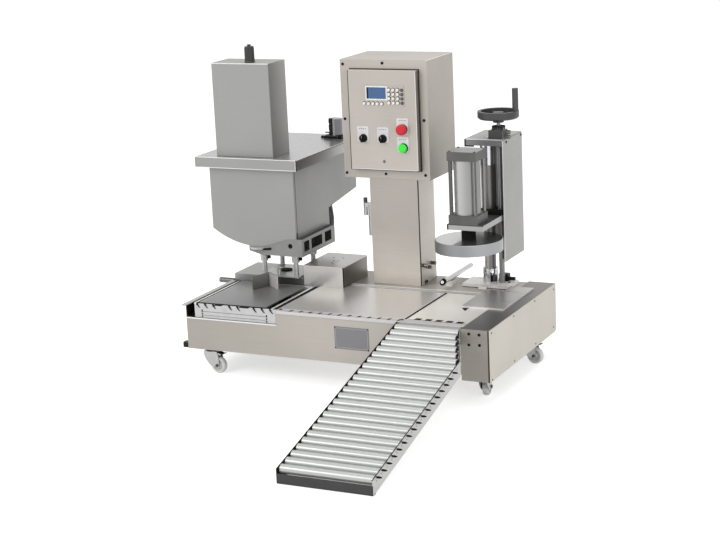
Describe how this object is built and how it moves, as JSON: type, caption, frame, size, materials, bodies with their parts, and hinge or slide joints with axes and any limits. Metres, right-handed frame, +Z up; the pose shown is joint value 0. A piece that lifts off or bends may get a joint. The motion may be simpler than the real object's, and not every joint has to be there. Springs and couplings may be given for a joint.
{
  "type": "automatic filling machine",
  "caption": "Wheeled pail filling machine: weighing table, filling head on posts, control box on a column, lid press and a sloping roller slide.",
  "frame": {"origin": "middle of the overall box's underside, on the floor under the casters", "axes": "+Z up, +X to the operator's right along the table, -Y towards the operator and down the slide"},
  "size_m": [1.68, 2.274, 1.526],
  "materials": {
    "beige_sheet": "brushed",
    "pale_sheet": "brushed, lighter",
    "grey_sheet": "brushed, neutral grey",
    "dark_metal": "dark grey paint",
    "cast_grey": "cast and machined",
    "chrome": "polished",
    "steel": "machined",
    "charcoal_paint": "charcoal paint",
    "black_plastic": "matt black",
    "pale_plastic": "pale grey",
    "red_plastic": "glossy red",
    "green_plastic": "glossy green",
    "roller_steel": "bright tube",
    "pale_nylon": "pale nylon"
  },
  "bodies": {
    "machine": {"base_shell": "beige_sheet", "end_block": "beige_sheet", "side_panel": "pale_sheet", "centre_plate": "pale_sheet", "outfeed_plate": "pale_sheet", "front_rail": "pale_sheet", "rear_rail": "pale_sheet", "left_rail": "pale_sheet", "weigh_frame": "pale_nylon", "weigh_plate": "grey_sheet", "stop_bracket": "dark_metal", "rear_deck": "grey_sheet", "junction_box": "pale_sheet", "control_column": "beige_sheet", "control_box": "beige_sheet", "head_posts": "chrome", "press_column": "steel", "press_bracket": "grey_sheet", "press_cover": "grey_sheet", "pusher_cylinder": "steel", "slide_frame": "charcoal_paint"},
    "transfer_roller": {"transfer_roller": "roller_steel"},
    "door": {"control_door": "beige_sheet", "display_keypad": "pale_plastic"},
    "stop_button": {"stop_button": "red_plastic"},
    "start_button": {"start_button": "green_plastic"},
    "selector_left": {"selector_left": "black_plastic"},
    "selector_right": {"selector_right": "black_plastic"},
    "filling_head": {"head_frame": "cast_grey", "head_housing": "grey_sheet", "head_lid": "grey_sheet", "head_tower": "grey_sheet"},
    "handwheel": {"press_handwheel": "dark_metal"},
    "wheel_grip": {"handwheel_grip": "black_plastic"},
    "carriage": {"press_carriage": "grey_sheet", "press_cylinder": "cast_grey"},
    "press_disc": {"press_disc": "steel"},
    "pusher_rod": {"pusher_rod": "chrome"},
    "fork_front_left": {"caster_fork_front_left": "steel"},
    "wheel_front_left": {"caster_wheel_front_left": "pale_nylon"},
    "fork_rear_left": {"caster_fork_rear_left": "steel"},
    "wheel_rear_left": {"caster_wheel_rear_left": "pale_nylon"},
    "fork_front_right": {"caster_fork_front_right": "steel"},
    "wheel_front_right": {"caster_wheel_front_right": "pale_nylon"},
    "fork_rear_right": {"caster_fork_rear_right": "steel"},
    "wheel_rear_right": {"caster_wheel_rear_right": "pale_nylon"},
    "slide_roller_01": {"slide_roller_01": "roller_steel"},
    "slide_roller_02": {"slide_roller_02": "roller_steel"},
    "slide_roller_03": {"slide_roller_03": "roller_steel"},
    "slide_roller_04": {"slide_roller_04": "roller_steel"},
    "slide_roller_05": {"slide_roller_05": "roller_steel"},
    "slide_roller_06": {"slide_roller_06": "roller_steel"},
    "slide_roller_07": {"slide_roller_07": "roller_steel"},
    "slide_roller_08": {"slide_roller_08": "roller_steel"},
    "slide_roller_09": {"slide_roller_09": "roller_steel"},
    "slide_roller_10": {"slide_roller_10": "roller_steel"},
    "slide_roller_11": {"slide_roller_11": "roller_steel"},
    "slide_roller_12": {"slide_roller_12": "roller_steel"},
    "slide_roller_13": {"slide_roller_13": "roller_steel"},
    "slide_roller_14": {"slide_roller_14": "roller_steel"}
  },
  "joints": [
    {"name": "transfer_roller_spin", "type": "hinge", "parent": "machine", "child": "transfer_roller", "pos_m": [-0.281, 0.242, 0.331], "axis": [0, 1, 0], "continuous": true},
    {"name": "door_hinge", "type": "hinge", "parent": "machine", "child": "door", "pos_m": [-0.105, 0.648, 1.125], "axis": [0, 0, -1], "range_deg": [0, 110]},
    {"name": "stop_press", "type": "slide", "parent": "door", "child": "stop_button", "axis": [0, 1, 0], "range_m": [0, 0.006], "stiffness_N_per_m": 1200, "springref_m": -0.003},
    {"name": "start_press", "type": "slide", "parent": "door", "child": "start_button", "axis": [0, 1, 0], "range_m": [0, 0.004], "stiffness_N_per_m": 1200, "springref_m": -0.003},
    {"name": "selector_left_turn", "type": "hinge", "parent": "door", "child": "selector_left", "pos_m": [-0.025, 0.617, 1.067], "axis": [0, 1, 0], "range_deg": [-45, 45]},
    {"name": "selector_right_turn", "type": "hinge", "parent": "door", "child": "selector_right", "pos_m": [0.077, 0.617, 1.067], "axis": [0, 1, 0], "range_deg": [-45, 45]},
    {"name": "head_lift", "type": "slide", "parent": "machine", "child": "filling_head", "axis": [0, 0, 1], "range_m": [0, 0.04]},
    {"name": "carriage_slide", "type": "slide", "parent": "machine", "child": "carriage", "axis": [0, 0, -1], "range_m": [0, 0.08]},
    {"name": "handwheel_turn", "type": "hinge", "parent": "machine", "child": "handwheel", "pos_m": [0.606, 0.771, 1.125], "axis": [0, 0, 1], "range_deg": [0, 1440]},
    {"name": "grip_spin", "type": "hinge", "parent": "handwheel", "child": "wheel_grip", "pos_m": [0.692, 0.771, 1.225], "axis": [0, 0, 1], "continuous": true},
    {"name": "disc_stroke", "type": "slide", "parent": "carriage", "child": "press_disc", "axis": [0, 0, -1], "range_m": [0, 0.09]},
    {"name": "pusher_stroke", "type": "slide", "parent": "machine", "child": "pusher_rod", "axis": [0, -1, 0], "range_m": [0, 0.22]},
    {"name": "swivel_front_left", "type": "hinge", "parent": "machine", "child": "fork_front_left", "pos_m": [-0.628, 0.096, 0.115], "axis": [0, 0, 1], "continuous": true},
    {"name": "roll_front_left", "type": "hinge", "parent": "fork_front_left", "child": "wheel_front_left", "pos_m": [-0.59021, 0.09203, 0.04], "axis": [0.1045, 0.9945, 0], "continuous": true},
    {"name": "swivel_rear_left", "type": "hinge", "parent": "machine", "child": "fork_rear_left", "pos_m": [-0.628, 0.807, 0.115], "axis": [0, 0, 1], "continuous": true},
    {"name": "roll_rear_left", "type": "hinge", "parent": "fork_rear_left", "child": "wheel_rear_left", "pos_m": [-0.609, 0.83991, 0.04], "axis": [-0.866, 0.5, 0], "continuous": true},
    {"name": "swivel_front_right", "type": "hinge", "parent": "machine", "child": "fork_front_right", "pos_m": [0.76, 0.13, 0.115], "axis": [0, 0, 1], "continuous": true},
    {"name": "roll_front_right", "type": "hinge", "parent": "fork_front_right", "child": "wheel_front_right", "pos_m": [0.75537, 0.16772, 0.04], "axis": [-0.9925, -0.1219, 0], "continuous": true},
    {"name": "swivel_rear_right", "type": "hinge", "parent": "machine", "child": "fork_rear_right", "pos_m": [0.76, 0.69, 0.115], "axis": [0, 0, 1], "continuous": true},
    {"name": "roll_rear_right", "type": "hinge", "parent": "fork_rear_right", "child": "wheel_rear_right", "pos_m": [0.79763, 0.68471, 0.04], "axis": [0.1392, 0.9903, 0], "continuous": true},
    {"name": "slide_roller_01_spin", "type": "hinge", "parent": "machine", "child": "slide_roller_01", "pos_m": [0.574, -0.4715, 0.20525], "axis": [1, 0, 0], "continuous": true},
    {"name": "slide_roller_02_spin", "type": "hinge", "parent": "machine", "child": "slide_roller_02", "pos_m": [0.574, -0.52012, 0.19358], "axis": [1, 0, 0], "continuous": true},
    {"name": "slide_roller_03_spin", "type": "hinge", "parent": "machine", "child": "slide_roller_03", "pos_m": [0.574, -0.56874, 0.18191], "axis": [1, 0, 0], "continuous": true},
    {"name": "slide_roller_04_spin", "type": "hinge", "parent": "machine", "child": "slide_roller_04", "pos_m": [0.574, -0.61736, 0.17024], "axis": [1, 0, 0], "continuous": true},
    {"name": "slide_roller_05_spin", "type": "hinge", "parent": "machine", "child": "slide_roller_05", "pos_m": [0.574, -0.66598, 0.15857], "axis": [1, 0, 0], "continuous": true},
    {"name": "slide_roller_06_spin", "type": "hinge", "parent": "machine", "child": "slide_roller_06", "pos_m": [0.574, -0.7146, 0.1469], "axis": [1, 0, 0], "continuous": true},
    {"name": "slide_roller_07_spin", "type": "hinge", "parent": "machine", "child": "slide_roller_07", "pos_m": [0.574, -0.76322, 0.13524], "axis": [1, 0, 0], "continuous": true},
    {"name": "slide_roller_08_spin", "type": "hinge", "parent": "machine", "child": "slide_roller_08", "pos_m": [0.574, -0.81184, 0.12357], "axis": [1, 0, 0], "continuous": true},
    {"name": "slide_roller_09_spin", "type": "hinge", "parent": "machine", "child": "slide_roller_09", "pos_m": [0.574, -0.86046, 0.1119], "axis": [1, 0, 0], "continuous": true},
    {"name": "slide_roller_10_spin", "type": "hinge", "parent": "machine", "child": "slide_roller_10", "pos_m": [0.574, -0.90908, 0.10023], "axis": [1, 0, 0], "continuous": true},
    {"name": "slide_roller_11_spin", "type": "hinge", "parent": "machine", "child": "slide_roller_11", "pos_m": [0.574, -0.9577, 0.08856], "axis": [1, 0, 0], "continuous": true},
    {"name": "slide_roller_12_spin", "type": "hinge", "parent": "machine", "child": "slide_roller_12", "pos_m": [0.574, -1.00632, 0.07689], "axis": [1, 0, 0], "continuous": true},
    {"name": "slide_roller_13_spin", "type": "hinge", "parent": "machine", "child": "slide_roller_13", "pos_m": [0.574, -1.05494, 0.06522], "axis": [1, 0, 0], "continuous": true},
    {"name": "slide_roller_14_spin", "type": "hinge", "parent": "machine", "child": "slide_roller_14", "pos_m": [0.574, -1.10356, 0.05356], "axis": [1, 0, 0], "continuous": true}
  ],
  "couplings": [
    {"joint": "handwheel_turn", "follows": "carriage_slide", "rad_per_m": 314.16}
  ]
}
